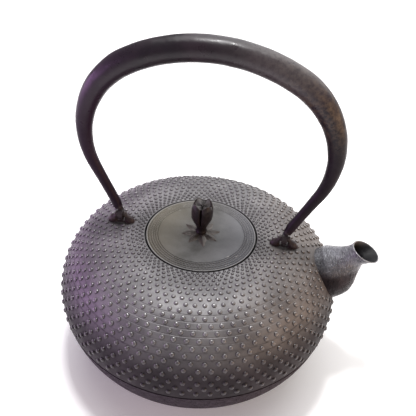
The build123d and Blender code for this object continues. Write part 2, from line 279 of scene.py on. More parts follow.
# ------------------------------------------------------------------ materials
class Nodes:
    """Small builder of one material's node tree."""

    def __init__(self, name):
        self.material = bpy.data.materials.new(name)
        self.material.use_nodes = True
        self.tree = self.material.node_tree
        self.shader = self.tree.nodes["Principled BSDF"]
        self.coords = self.tree.nodes.new("ShaderNodeTexCoord").outputs["Object"]

    def put(self, socket, value):
        """Link or set an input."""
        if isinstance(value, bpy.types.NodeSocket):
            self.tree.links.new(value, socket)
        else:
            socket.default_value = value

    def noise(self, size, detail=4.0, roughness=0.55, stretch=(1, 1, 1), distortion=0.0):
        """Noise with features of a size in millimetres."""
        place = self.tree.nodes.new("ShaderNodeMapping")
        self.tree.links.new(self.coords, place.inputs["Vector"])
        place.inputs["Scale"].default_value = stretch
        node = self.tree.nodes.new("ShaderNodeTexNoise")
        self.tree.links.new(place.outputs["Vector"], node.inputs["Vector"])
        node.inputs["Scale"].default_value = 1 / (size * MM)
        node.inputs["Detail"].default_value = detail
        node.inputs["Roughness"].default_value = roughness
        node.inputs["Distortion"].default_value = distortion
        return node.outputs["Fac"]

    def remap(self, value, low, high, to_low, to_high):
        """Smoothly map a value from one range to another."""
        node = self.tree.nodes.new("ShaderNodeMapRange")
        node.interpolation_type = "SMOOTHSTEP"
        for name, v in (
            ("Value", value),
            ("From Min", low),
            ("From Max", high),
            ("To Min", to_low),
            ("To Max", to_high),
        ):
            self.put(node.inputs[name], v)
        return node.outputs["Result"]

    def mix(self, share, a, b, how="MIX"):
        """Blend two colours."""
        node = self.tree.nodes.new("ShaderNodeMix")
        node.data_type = "RGBA"
        node.blend_type = how
        self.put(node.inputs[0], share)
        self.put(node.inputs[6], a)
        self.put(node.inputs[7], b)
        return node.outputs[2]

    def math(self, operation, a, b=0.0):
        """One scalar operation."""
        node = self.tree.nodes.new("ShaderNodeMath")
        node.operation = operation
        self.put(node.inputs[0], a)
        self.put(node.inputs[1], b)
        return node.outputs[0]

    def axis(self, name):
        """One coordinate, in metres."""
        node = self.tree.nodes.new("ShaderNodeSeparateXYZ")
        self.tree.links.new(self.coords, node.inputs[0])
        return node.outputs[name]

    def from_axis(self):
        """Distance from the Z axis, in metres."""
        return self.length(self.axis("X"), self.axis("Y"))

    def length(self, a, b):
        """Length of a vector of two parts."""
        square = self.math("ADD", self.math("POWER", a, 2.0), self.math("POWER", b, 2.0))
        return self.math("SQRT", square)

    def edges(self):
        """1 on sharp convex edges."""
        node = self.tree.nodes.new("ShaderNodeNewGeometry")
        return self.remap(node.outputs["Pointiness"], 0.52, 0.6, 0.0, 1.0)

    def hollows(self):
        """1 in creases, where shade is painted."""
        node = self.tree.nodes.new("ShaderNodeNewGeometry")
        return self.remap(node.outputs["Pointiness"], 0.40, 0.495, 1.0, 0.0)

    def bump(self, height, depth, below=None):
        """Bump of a depth in millimetres, over another bump."""
        node = self.tree.nodes.new("ShaderNodeBump")
        node.inputs["Strength"].default_value = 1.0
        node.inputs["Distance"].default_value = depth * MM
        self.put(node.inputs["Height"], height)
        if below is not None:
            self.tree.links.new(below, node.inputs["Normal"])
        return node.outputs["Normal"]

    def finish(self, colour, roughness, normal, metallic=0.0, specular=0.5):
        """Feed the shader."""
        self.put(self.shader.inputs["Base Color"], colour)
        self.put(self.shader.inputs["Roughness"], roughness)
        self.put(self.shader.inputs["Normal"], normal)
        self.shader.inputs["Metallic"].default_value = metallic
        self.put(self.shader.inputs["Specular IOR Level"], specular)
        return self.material


def rgb(r, g, b):
    return (r, g, b, 1.0)


def iron(name, dark, light, worn, gloss, metallic, grain, specular=0.5, brush=None):
    """Cast iron: blotches, worn edges, painted shade in the hollows and a grain cast in."""
    n = Nodes(name)
    blotch = n.noise(16.0, 5.0, 0.6)
    fine = n.noise(1.1, 5.0, 0.65)
    patch = n.noise(5.0, 3.0, 0.5)
    colour = n.mix(n.remap(blotch, 0.35, 0.68, 0.0, 1.0), dark, light)
    colour = n.mix(n.remap(fine, 0.45, 0.75, 0.0, 0.35), colour, worn)
    colour = n.mix(n.math("MULTIPLY", n.edges(), 0.6), colour, worn)
    # painted shade: creases darkened towards near black
    colour = n.mix(n.math("MULTIPLY", n.hollows(), 0.75), colour, rgb(0.012, 0.01, 0.011))
    low, high = gloss
    shine = n.remap(patch, 0.3, 0.7, low, high)
    normal = n.bump(fine, grain)
    if brush:
        size, stretch, depth = brush
        normal = n.bump(n.noise(size, 3.0, 0.6, stretch, 0.6), depth, normal)
    return n.finish(colour, shine, normal, metallic, specular)


def body_iron(name, gloss, worn, raised=False):
    """The wall's iron: lighter shoulder, painted shade darker towards the belly, then a rough bluish band under
    the groove, partly painted lighter.

    On the raised dots the feet get painted shade and the tips are worn light.
    """
    n = Nodes(name)
    blotch = n.noise(20.0, 5.0, 0.6)
    fine = n.noise(0.9, 5.0, 0.65)
    patch = n.noise(6.0, 3.0, 0.5)
    streak = n.noise(3.2, 3.0, 0.55, (1, 1, 5))
    colour = n.mix(n.remap(blotch, 0.35, 0.68, 0.0, 1.0), rgb(0.088, 0.082, 0.088), rgb(0.165, 0.158, 0.164))
    colour = n.mix(n.remap(streak, 0.5, 0.75, 0.0, 0.3), colour, rgb(0.19, 0.182, 0.184))
    colour = n.mix(n.remap(fine, 0.45, 0.75, 0.0, 0.35), colour, rgb(0.2, 0.19, 0.19))
    colour = n.mix(n.math("MULTIPLY", n.edges(), worn), colour, rgb(0.3, 0.29, 0.295))
    if raised:
        outward = n.math("MAXIMUM", n.math("SUBTRACT", n.from_axis(), SHOULDER_CENTRE * MM), 0.0)
        upward = n.math("SUBTRACT", n.axis("Z"), WIDEST_Z * MM)
        span = n.length(outward, upward)
        # painted shade: the feet of the raised dots darkened to near black
        foot = n.remap(n.math("SUBTRACT", span, SHOULDER * MM), 0.2 * MM, 0.9 * MM, 0.92, 0.0)
        colour = n.mix(foot, colour, rgb(0.014, 0.009, 0.012))
    # the rough band under the groove; its lighter colour is partly painted light from the lit floor it faces
    band = n.remap(n.axis("Z"), GROOVE_Z * MM, (GROOVE_Z - 1.5) * MM, 0.0, 1.0)
    colour = n.mix(n.math("MULTIPLY", band, 0.75), colour, rgb(0.26, 0.235, 0.27))
    # painted coloured light: purple on the left side, fading towards the top, and brown on the right, for the
    # coloured fill lamps
    top = n.remap(n.axis("Z"), (WIDEST_Z + 28.0) * MM, (WIDEST_Z + 40.0) * MM, 1.0, 0.45)
    left = n.math("MULTIPLY", n.remap(n.axis("X"), -0.01, -0.08, 0.0, 0.9), top)
    right = n.remap(n.axis("X"), 0.015, 0.085, 0.0, 0.85)
    colour = n.mix(left, colour, rgb(0.78, 0.58, 0.84), "MULTIPLY")
    colour = n.mix(right, colour, rgb(0.86, 0.72, 0.6), "MULTIPLY")
    # painted shade: the wall darkened downwards from the shoulder, away from the lamps above
    low = n.remap(n.axis("Z"), (WIDEST_Z + 35.0) * MM, (WIDEST_Z + 4.0) * MM, 0.0, 1.0)
    colour = n.mix(low, colour, rgb(0.2, 0.16, 0.19), "MULTIPLY")
    # painted shade: creases darkened to near black
    colour = n.mix(n.math("MULTIPLY", n.hollows(), 0.85), colour, rgb(0.008, 0.006, 0.007))
    # painted shade on the wall round each lug, under and between its lobes
    beside = n.math("DIVIDE", n.math("SUBTRACT", n.math("ABSOLUTE", n.axis("X")), LUG_X * MM), 2.0)
    around = n.length(beside, n.axis("Y"))
    colour = n.mix(n.remap(around, 3.2 * MM, 5.6 * MM, 0.9, 0.0), colour, rgb(0.018, 0.013, 0.012))
    radius = n.from_axis()
    # painted shade in the gap between the mouth and the lid
    gap = n.remap(radius, (MOUTH_RADIUS + 0.75) * MM, (MOUTH_RADIUS + 0.3) * MM, 0.0, 0.95)
    colour = n.mix(gap, colour, rgb(0.004, 0.004, 0.004))
    low_gloss, high_gloss = gloss
    shine = n.remap(patch, 0.3, 0.7, low_gloss, high_gloss)
    shine = n.math("ADD", shine, n.math("MULTIPLY", low, 0.08))
    shine = n.math("ADD", shine, n.math("MULTIPLY", band, 0.12))
    normal = n.bump(fine, 0.035)
    normal = n.bump(n.noise(3.5, 3.0, 0.5), 0.12, normal)
    pit = n.math("MULTIPLY", n.remap(n.noise(2.4, 4.0, 0.65), 0.34, 0.55, 0.0, 1.0), band)
    normal = n.bump(pit, 0.9, normal)
    dullest = 0.5 if raised else 0.15
    return n.finish(colour, shine, normal, 0.15, n.remap(low, 0.0, 1.0, 0.75, dullest))


def lid_iron():
    """Brushed lid: fine turned lines near the rim, plain middle."""
    n = Nodes("lid_iron")
    blotch = n.noise(14.0, 5.0, 0.6)
    fine = n.noise(0.8, 5.0, 0.7)
    radius = n.from_axis()
    colour = n.mix(n.remap(blotch, 0.32, 0.68, 0.0, 1.0), rgb(0.048, 0.046, 0.042), rgb(0.1, 0.097, 0.094))
    colour = n.mix(n.remap(fine, 0.5, 0.75, 0.0, 0.35), colour, rgb(0.14, 0.135, 0.13))
    # painted reflections: warm on the left side, bluish on the right
    colour = n.mix(n.remap(n.axis("X"), 0.0, -0.03, 0.0, 0.75), colour, rgb(0.135, 0.118, 0.085))
    colour = n.mix(n.remap(n.axis("X"), 0.0, 0.03, 0.0, 0.7), colour, rgb(0.12, 0.12, 0.135))
    # painted shade: the front half of the lid darkened
    colour = n.mix(n.remap(n.axis("Y"), 0.0, -0.025, 0.0, 0.8), colour, rgb(0.6, 0.6, 0.62), "MULTIPLY")
    colour = n.mix(n.math("MULTIPLY", n.edges(), 0.6), colour, rgb(0.25, 0.24, 0.23))
    # painted shade: creases darkened towards near black
    colour = n.mix(n.math("MULTIPLY", n.hollows(), 0.7), colour, rgb(0.012, 0.011, 0.011))
    # painted highlight: a light ring just inside the lid's edge
    rim = n.remap(radius, (LID_RADIUS - 1.1) * MM, (LID_RADIUS - 0.7) * MM, 0.0, 0.7)
    colour = n.mix(rim, colour, rgb(0.26, 0.25, 0.25))
    # painted shade in the gap between the lid and the mouth
    gap = n.remap(radius, (LID_RADIUS - 0.45) * MM, (LID_RADIUS - 0.1) * MM, 0.0, 0.95)
    colour = n.mix(gap, colour, rgb(0.004, 0.004, 0.004))
    rings = n.math("SINE", n.math("MULTIPLY", radius, 2 * pi / (0.75 * MM)))
    normal = n.bump(fine, 0.05)
    normal = n.bump(n.noise(2.2, 3.0, 0.6, (1, 3, 1)), 0.06, normal)
    normal = n.bump(rings, 0.014, normal)
    shine = n.remap(n.noise(5.0), 0.3, 0.7, 0.42, 0.55)
    return n.finish(colour, shine, normal, 0.1, 0.35)


def handle_iron():
    """Dark lacquered tube, rubbed to a mottled brown over the right of the crown."""
    n = Nodes("handle_iron")
    blotch = n.noise(24.0, 5.0, 0.6, (1, 1, 0.6))
    fine = n.noise(1.3, 5.0, 0.65)
    speck = n.noise(2.6, 4.0, 0.7)
    colour = n.mix(n.remap(blotch, 0.35, 0.68, 0.0, 1.0), rgb(0.008, 0.0045, 0.008), rgb(0.021, 0.012, 0.018))
    # painted purple light on the left side of the handle
    colour = n.mix(n.remap(n.axis("X"), -0.03, -0.085, 0.0, 0.5), colour, rgb(0.034, 0.014, 0.036))
    where = n.remap(n.axis("X"), 0.02, 0.07, 0.0, 1.0)
    up = n.remap(n.axis("Z"), 0.165, 0.2, 0.0, 1.0)
    wear = n.math("MULTIPLY", n.math("MULTIPLY", where, up), n.remap(speck, 0.38, 0.66, 0.0, 0.8))
    colour = n.mix(wear, colour, rgb(0.085, 0.056, 0.038))
    # painted highlight: pale grey along the top of the crown on the right
    right = n.remap(n.axis("X"), -0.01, 0.05, 0.0, 0.6)
    crown = n.math("MULTIPLY", right, n.remap(n.axis("Z"), 0.2, 0.222, 0.0, 1.0))
    crown = n.math("MULTIPLY", crown, n.remap(speck, 0.3, 0.6, 0.5, 1.0))
    colour = n.mix(crown, colour, rgb(0.12, 0.108, 0.108))
    colour = n.mix(n.remap(fine, 0.55, 0.8, 0.0, 0.3), colour, rgb(0.045, 0.036, 0.038))
    colour = n.mix(n.math("MULTIPLY", n.edges(), 0.4), colour, rgb(0.11, 0.095, 0.09))
    shine = n.remap(n.noise(7.0, 4.0, 0.6), 0.3, 0.7, 0.26, 0.4)
    normal = n.bump(fine, 0.05)
    normal = n.bump(n.noise(6.0, 3.0, 0.55), 0.22, normal)
    return n.finish(colour, shine, normal, 0.0, n.remap(n.axis("Z"), 0.15, 0.215, 0.1, 0.4))


def spout_iron():
    """Brushed bluish iron with ripples round the curve, painted shade and highlights on them, and painted shade
    underneath, dark brown.
    """
    n = Nodes("spout_iron")
    blotch = n.noise(9.0, 5.0, 0.6)
    fine = n.noise(0.9, 5.0, 0.65)
    ripple = n.noise(1.7, 4.0, 0.6, (1.8, 0.6, 0.9), 0.7)
    colour = n.mix(n.remap(blotch, 0.3, 0.7, 0.0, 1.0), rgb(0.085, 0.085, 0.096), rgb(0.2, 0.2, 0.225))
    colour = n.mix(n.remap(fine, 0.5, 0.78, 0.0, 0.3), colour, rgb(0.17, 0.17, 0.19))
    # painted shade in the ripples' troughs
    colour = n.mix(n.remap(ripple, 0.5, 0.3, 0.0, 0.6), colour, rgb(0.03, 0.025, 0.03))
    # painted highlight on the ripples' crests over the upper spout
    high = n.remap(n.axis("Z"), (WIDEST_Z + 24.0) * MM, (WIDEST_Z + 33.0) * MM, 0.0, 1.0)
    ripple_highlight = n.math("MULTIPLY", high, n.remap(ripple, 0.54, 0.68, 0.0, 0.5))
    colour = n.mix(ripple_highlight, colour, rgb(0.45, 0.45, 0.48))
    colour = n.mix(n.math("MULTIPLY", n.edges(), 0.8), colour, rgb(0.45, 0.44, 0.45))
    # painted shade: dark brown underneath
    under = n.remap(n.axis("Z"), (WIDEST_Z + 37.0) * MM, (WIDEST_Z + 28.0) * MM, 0.0, 1.0)
    colour = n.mix(under, colour, rgb(0.2, 0.15, 0.15), "MULTIPLY")
    shine = n.remap(n.noise(3.0), 0.3, 0.7, 0.16, 0.3)
    normal = n.bump(fine, 0.05)
    normal = n.bump(ripple, 0.9, normal)
    return n.finish(colour, shine, normal, 0.2, n.remap(under, 0.0, 1.0, 0.6, 0.08))


def bore_iron():
    """Inside of the spout, with painted shade growing darker deeper in."""
    n = Nodes("bore_iron")
    fine = n.noise(1.2, 5.0, 0.65)
    # painted shade: near black deeper in the bore, lighter near the mouth
    deep = n.remap(n.axis("Z"), (WIDEST_Z + 45.5) * MM, (WIDEST_Z + 40.0) * MM, 0.0, 1.0)
    colour = n.mix(deep, rgb(0.17, 0.165, 0.175), rgb(0.004, 0.0035, 0.005))
    colour = n.mix(n.remap(fine, 0.45, 0.75, 0.0, 0.3), colour, rgb(0.05, 0.048, 0.052))
    return n.finish(colour, n.remap(fine, 0.3, 0.7, 0.4, 0.6), n.bump(fine, 0.08), 0.0, 0.2)


BODY = body_iron("body_iron", (0.44, 0.56), 0.2)
DOTS = body_iron("dot_iron", (0.17, 0.26), 0.8, True)
LID = lid_iron()
HANDLE = handle_iron()
SPOUT = spout_iron()
BORE = bore_iron()
DARK = iron(
    "dark_iron",
    rgb(0.01, 0.006, 0.008),
    rgb(0.024, 0.015, 0.015),
    rgb(0.07, 0.05, 0.045),
    (0.34, 0.5),
    metallic=0.05,
    grain=0.09,
    specular=0.3,
    brush=(2.2, (1, 1, 0.5), 0.25),
)
STAR = iron(
    "star_iron",
    rgb(0.02, 0.014, 0.012),
    rgb(0.042, 0.032, 0.027),
    rgb(0.16, 0.135, 0.12),
    (0.34, 0.5),
    metallic=0.15,
    grain=0.06,
)
# painted light: a lighter copy of the knob's iron for the inside of the bud, lit from above
DISH = iron(
    "bud_inside",
    rgb(0.11, 0.1, 0.1),
    rgb(0.19, 0.18, 0.18),
    rgb(0.3, 0.29, 0.29),
    (0.34, 0.5),
    metallic=0.2,
    grain=0.08,
    specular=0.4,
)
HOOK = iron(
    "hook_iron",
    rgb(0.014, 0.009, 0.012),
    rgb(0.03, 0.02, 0.024),
    rgb(0.04, 0.03, 0.033),
    (0.38, 0.5),
    metallic=0.1,
    grain=0.05,
)
LUG = iron(
    "lug_iron",
    rgb(0.03, 0.019, 0.022),
    rgb(0.06, 0.042, 0.046),
    rgb(0.1, 0.08, 0.075),
    (0.36, 0.5),
    metallic=0.05,
    grain=0.07,
    specular=0.3,
)


# ------------------------------------------------------------------ body
def on_shoulder(angle, out=0.0):
    """Point of the bare wall's arc over the widest ring, angle in degrees from it."""
    a = radians(angle)
    radius = SHOULDER + out
    if a < 0:
        below = asin(SHOULDER * sin(a) / BELLY)
        return BELLY_CENTRE + (BELLY + out) * cos(below), WIDEST_Z + SHOULDER * sin(a)
    return SHOULDER_CENTRE + radius * cos(a), WIDEST_Z + radius * sin(a)


def row_angle(row):
    """Angle in degrees of a row of dots along the shoulder's arc."""
    return FIRST_ROW + ROW_STEP * row - ROW_CLOSING * row**2


def belly_point(z):
    """Point of the bare wall's arc under the widest ring, at a height."""
    return BELLY_CENTRE + sqrt(BELLY**2 - (z - WIDEST_Z) ** 2), z


def wall_profile():
    """Bare wall: base, belly, groove, dotted zone with scribed lines, mouth, ledge and cavity."""
    foot = belly_point(0)[0]
    profile = [(0, 0), (foot - 9, 0), (foot - 1.0, 0), (foot, 0.5)]
    profile += [belly_point(1.5 + (GROOVE_Z - 2.6) * k / BELLY_STEPS) for k in range(BELLY_STEPS + 1)]
    r = belly_point(GROOVE_Z)[0]
    profile += [(r + 0.1, GROOVE_Z - 0.55), (r - GROOVE_DEPTH, GROOVE_Z - 0.2)]
    profile += [(r - GROOVE_DEPTH, GROOVE_Z + 0.2), (r + 0.15, GROOVE_Z + 0.6)]
    lines = [row_angle(row + 0.5) for row in LINED_ROWS]
    angle = degrees(asin((GROOVE_Z + 1.6 - WIDEST_Z) / SHOULDER))
    while angle < 90:
        near = [line for line in lines if abs(line - angle) < LINE_REACH]
        if near:
            line = near[0]
            for offset, depth in LINE_SECTION:
                profile.append(on_shoulder(line + offset, -depth))
            angle = line + LINE_REACH
            lines.remove(line)
        else:
            profile.append(on_shoulder(angle))
            angle += ARC_STEP
    flat = WIDEST_Z + SHOULDER
    profile += [(SHOULDER_CENTRE - 3 * k, flat - 0.06 * k) for k in range(6)]
    profile += [(MOUTH_RADIUS + 0.6, MOUTH_Z - 0.02), (MOUTH_RADIUS + 0.25, MOUTH_Z - 0.2)]
    profile += [(MOUTH_RADIUS, MOUTH_Z - 0.8)]
    profile += [(MOUTH_RADIUS, LEDGE_Z), (LEDGE_RADIUS, LEDGE_Z), (LEDGE_RADIUS, LEDGE_UNDER)]
    inner = SHOULDER - WALL
    start = acos((LEDGE_UNDER - WIDEST_Z) / inner)
    profile += [
        (SHOULDER_CENTRE + inner * sin(a), WIDEST_Z + inner * cos(a))
        for a in [-start + (start + pi / 2) * k / CAVITY_STEPS for k in range(CAVITY_STEPS + 1)]
    ]
    inner_belly = BELLY - WALL
    low = asin((WIDEST_Z - FLOOR_Z) / inner_belly)
    profile += [
        (BELLY_CENTRE + inner_belly * cos(a), WIDEST_Z - inner_belly * sin(a))
        for a in [low * k / CAVITY_BELLY_STEPS for k in range(1, CAVITY_BELLY_STEPS + 1)]
    ]
    profile += [(0, FLOOR_Z)]
    return profile


points, faces = turned(wall_profile())
piece("kettle_wall", points, faces, BODY, "kettle", ["kettle_body"], 50)

# spout frame, needed to leave out the dots under its root
AXIS_OUT = Vector((cos(SPOUT_TURN), sin(SPOUT_TURN), 0))
ACROSS = Vector((-sin(SPOUT_TURN), cos(SPOUT_TURN), 0))


def spout_frame(reach, height, rise):
    """Middle of a section across the spout, and the direction that is up in it."""
    lift = radians(rise)
    normal = AXIS_OUT * cos(lift) + Vector((0, 0, sin(lift)))
    return AXIS_OUT * reach + Vector((0, 0, WIDEST_Z + height)), normal.cross(ACROSS)


def spout_point(at, turn, inside=False):
    """Point of the spout's surface at a fractional section and an angle round it."""
    reach, height, rise, across, up, wall = smooth_row(SPOUT_SECTIONS, at)
    if inside:
        across -= wall
        up -= wall
    middle, upward = spout_frame(reach, height, rise)
    return middle + ACROSS * (across * cos(turn)) + upward * (up * sin(turn))


def depth_in_wall(p):
    """How far a point near the shoulder lies outside the bare wall."""
    r = hypot(p[0], p[1])
    if p[2] < WIDEST_Z:
        return hypot(r - BELLY_CENTRE, p[2] - WIDEST_Z) - BELLY
    return hypot(r - SHOULDER_CENTRE, p[2] - WIDEST_Z) - SHOULDER


def under_spout(p, margin=1.3):
    """Whether a point of the wall lies under the spout's root."""
    reach, height, rise, across, up, _ = SPOUT_SECTIONS[1]
    middle, upward = spout_frame(reach, height, rise)
    away = Vector(p) - middle
    if away.dot(AXIS_OUT) < -30:  # the far side of the kettle
        return False
    return (away.dot(ACROSS) / (across + margin)) ** 2 + (away.dot(upward) / (up + margin)) ** 2 < 1


def dot(points, faces, centre, outward, radius, height):
    """Add one cast dot: a low dome with its foot sunk in the wall."""
    side = outward.cross(Vector((0, 0, 1))).normalized()
    other = outward.cross(side)
    start = len(points)
    points.append(tuple(centre - outward * 0.5))
    rings = ((1.08, -0.3), (1.0, 0.14), (0.92, 0.5), (0.7, 0.82), (0.38, 0.97))
    for share, level in rings:
        lift = level * height if level > 0 else level
        for k in range(DOT_COUNT):
            a = 2 * pi * k / DOT_COUNT
            points.append(tuple(centre + outward * lift + (side * cos(a) + other * sin(a)) * radius * share))
    points.append(tuple(centre + outward * height))
    for k in range(DOT_COUNT):
        n = (k + 1) % DOT_COUNT
        faces.append((start, start + 1 + n, start + 1 + k))
        for ring in range(len(rings) - 1):
            a = start + 1 + ring * DOT_COUNT
            b = a + DOT_COUNT
            faces.append((a + k, a + n, b + n, b + k))
        a = start + 1 + (len(rings) - 1) * DOT_COUNT
        faces.append((len(points) - 1, a + k, a + n))


def dot_rows():
    """(radius, height, tilt of the wall in degrees, dot radius, dot height, phase) of each row."""
    rows = []
    for row in range(ARC_ROWS):
        angle = row_angle(row)
        r, z = on_shoulder(angle)
        fade = ease(6, ARC_ROWS + 1, row)
        size = DOT_RADIUS * (1 - 0.14 * fade)
        height = DOT_HEIGHT * (1 - 0.15 * fade)
        rows.append((r, z, min(angle, 90), size, height, row % 2))
    step = FLAT_STEP
    for row in range(FLAT_ROWS):
        r -= step
        step *= FLAT_SHRINK
        size *= FLAT_DOT_SHRINK
        height *= FLAT_DOT_SHRINK
        z = WIDEST_Z + SHOULDER - 0.02 * (SHOULDER_CENTRE - r)
        rows.append((r, z, 90, size, height, (ARC_ROWS + row) % 2))
    return rows


points, faces = [], []
for r, z, tilt, size, height, odd in dot_rows():
    for k in range(DOTS_PER_ROW):
        turn = radians(-90 + (k + 0.5 * odd) * 360 / DOTS_PER_ROW + draw.uniform(-DOT_WANDER, DOT_WANDER))
        out = Vector((cos(turn), sin(turn), 0))
        centre = out * r + Vector((0, 0, z))
        by_lug = hypot((abs(centre.x) - LUG_X) / LUG_CLEAR_ALONG, centre.y / LUG_CLEAR_ACROSS) < 1
        if under_spout(centre) or by_lug:
            continue
        normal = (out * cos(radians(tilt)) + Vector((0, 0, sin(radians(tilt))))).normalized()
        own = size * draw.uniform(0.93, 1.06)
        dot(points, faces, centre, normal, own, height * draw.uniform(0.88, 0.98))
piece("wall_dots", points, faces, DOTS, "kettle", None, 80)


# ------------------------------------------------------------------ spout
def spout_rings(count):
    """Rings from the root inside the wall over the lip and back down the bore."""
    last = len(SPOUT_SECTIONS) - 1.0

    def start_of(turn, inside):
        """Fractional section where the shell meets the depth it is sunk to."""
        low, high = 0.0, 3.0
        for _ in range(24):
            middle = (low + high) / 2
            if depth_in_wall(spout_point(middle, turn, inside)) < -SPOUT_SINK:
                low = middle
            else:
                high = middle
        return (low + high) / 2

    turns = [2 * pi * k / count for k in range(count)]
    outer_start = [start_of(t, False) for t in turns]
    inner_start = [start_of(t, True) for t in turns]
    rings = []
    for step in range(SPOUT_ALONG + 1):
        share = (step / SPOUT_ALONG) ** 0.9
        ring = []
        for t, begin in zip(turns, outer_start):
            at = begin + (last - begin) * share
            p = spout_point(at, t)
            middle = (spout_point(at, 0) + spout_point(at, pi)) / 2
            out = (p - middle).normalized()
            ripple = 0.3 * rough((p.x * 1.6, p.y * 0.5, p.z), 3.0, 5) + 0.16 * rough(p, 8.0, 9)
            flare = 0.0 if share < 0.04 else 1.0 - 0.75 * ease(0.9, 1.0, share)
            ring.append(tuple(p + out * (ripple * flare - 0.12)))
        rings.append(ring)
    raised = Vector((0.1, 0, 0.22))
    lip = [Vector(a).lerp(spout_point(last, t, True), 0.5) + raised for a, t in zip(rings[-1], turns)]
    rings.append([tuple(p) for p in lip])
    for step in range(BORE_STEPS + 1):
        share = 1 - step / BORE_STEPS
        ring = [spout_point(begin + (last - begin) * share, t, True) for t, begin in zip(turns, inner_start)]
        rings.append([tuple(p) for p in ring])
    return rings


points, faces = skin(spout_rings(SPOUT_STEPS), closed=True)
shell = piece("spout_shell", points, faces, SPOUT, "kettle", ["spout"], 60)
shell.data.materials.append(BORE)
first_inside = (SPOUT_ALONG + 2) * SPOUT_STEPS
for polygon in shell.data.polygons:
    polygon.material_index = 1 if polygon.index >= first_inside else 0


# ------------------------------------------------------------------ lugs
def lens(points, faces, middle, stations):
    """Add a rounded bar along X through stations of (along, top, bottom, half width), sizes from `middle`."""
    rings = []
    for x, top, bottom, wide in stations:
        ring = []
        for m in range(LENS_COUNT):
            a = 2 * pi * m / LENS_COUNT
            p = middle + Vector((x, wide * cos(a), (top + bottom) / 2 + (top - bottom) / 2 * sin(a)))
            ring.append(tuple(p + Vector((0, cos(a), sin(a))) * 0.14 * rough(p, 2.4, 3)))
        rings.append(ring)
    more, their = skin(rings)
    start = len(points)
    points += more
    faces += [tuple(i + start for i in face) for face in their]


def lug(name, side, node):
    """Two low lobes on a lens-shaped pad, joined by the round bar that the hook goes round."""
    wall = WIDEST_Z + SHOULDER - BAR_Z
    sunk = wall - LUG_SINK
    middle = Vector((side * LUG_X, 1.0, BAR_Z))
    points, faces = [], []
    lens(points, faces, middle, [(-x, wall + top, sunk, wide) for x, top, wide in reversed(LUG_LOBE)])
    lens(points, faces, middle, [(x, wall + top, sunk, wide) for x, top, wide in LUG_LOBE])
    bar = [(x, BAR_RADIUS, -BAR_RADIUS, BAR_RADIUS) for x in BAR_STATIONS]
    lens(points, faces, Vector((side * LUG_X, 0, BAR_Z)), bar)
    pad = []
    for k in range(-PAD_HALF_STEPS, PAD_HALF_STEPS + 1):
        share = k / PAD_HALF_STEPS
        top = 0.5 - 0.4 * abs(share) ** 3
        wide = PAD_SWELL * (1 - share**2) ** 0.6 + PAD_TIP
        pad.append((PAD_REACH * k / PAD_HALF_STEPS, wall + top, sunk, wide))
    lens(points, faces, middle + Vector((0, 1.2, 0)), pad)
    piece(name, points, faces, LUG, "kettle", [node], 60)


lug("lug_left_loop", -1, "lug_left")
lug("lug_right_loop", 1, "lug_right")


# ------------------------------------------------------------------ handle
def hoop(distance):
    """Centre point and direction of the hoop at a signed distance from the middle of its crown."""
    side = -1 if distance < 0 else 1
    s = abs(distance)
    crown = CROWN_RADIUS * CROWN_ANGLE
    arc = SIDE_RADIUS * SIDE_ANGLE
    if s <= crown:
        a = s / CROWN_RADIUS
        x, h = CROWN_RADIUS * sin(a), HOOP_TOP - CROWN_RADIUS * (1 - cos(a))
    else:
        x0 = CROWN_RADIUS * sin(CROWN_ANGLE)
        h0 = HOOP_TOP - CROWN_RADIUS * (1 - cos(CROWN_ANGLE))
        a = CROWN_ANGLE + min(s - crown, arc) / SIDE_RADIUS
        x = x0 + SIDE_RADIUS * (sin(a) - sin(CROWN_ANGLE))
        h = h0 - SIDE_RADIUS * (cos(CROWN_ANGLE) - cos(a))
        rest = max(s - crown - arc, 0)
        x += cos(a) * rest
        h -= sin(a) * rest
    up = Vector((0, sin(LEAN), cos(LEAN)))
    point = Vector((side * x, 0, BAR_Z)) + up * h
    direction = Vector((cos(a), 0, 0)) - side * sin(a) * up
    return point, direction.normalized()


def tube_radius(s):
    """Radius of the tube at a signed distance from the middle of its crown."""
    share = min(max((abs(s) - TAPER_START) / (TAPER_END - TAPER_START), 0), 1)
    return TUBE_END + (TUBE_CROWN - TUBE_END) * (1 + cos(pi * share)) / 2


def handle_rings(count=40, steps=230):
    """Rings along the hoop, with a short plug at each end."""
    across = Vector((0, -cos(LEAN), sin(LEAN)))
    rings = []

    def ring_at(s, radius, push=0.0, plain=False):
        """Ring of the tube, uneven unless plain, with a shallow notch on its inner side at each end."""
        centre, direction = hoop(s)
        inward = direction.cross(across).normalized()
        ring = []
        for m in range(count):
            a = 2 * pi * m / count
            out = across * cos(a) + inward * sin(a)
            p = centre + direction * push + out * radius
            if not plain:
                wave = 0.16 * rough(p, 9.0, 2) + 0.07 * rough(p, 3.0, 4) - 0.1
                gap = HALF_HOOP - abs(s)
                toward = out.dot(Vector((-1 if s > 0 else 1, 0, 0)))
                notch = NOTCH_DEPTH * ease(0.35, 0.75, toward) * (1 - ease(NOTCH_FULL, NOTCH_GONE, gap))
                p += out * (wave * min(radius / 6, 1) - notch)
            ring.append(tuple(p))
        return ring

    rings.append(ring_at(-HALF_HOOP, PLUG_RADIUS, PLUG_INSET, True))
    rings.append(ring_at(-HALF_HOOP, PLUG_RADIUS + 0.05, 0.0, True))
    for k in range(steps + 1):
        s = -HALF_HOOP + 2 * HALF_HOOP * k / steps
        rings.append(ring_at(s, tube_radius(s)))
    rings.append(ring_at(HALF_HOOP, PLUG_RADIUS + 0.05, 0.0, True))
    rings.append(ring_at(HALF_HOOP, PLUG_RADIUS, -PLUG_INSET, True))
    return rings


points, faces = skin(handle_rings())
piece("handle_hoop", points, faces, HANDLE, "handle", ["handle_tube"], 50)


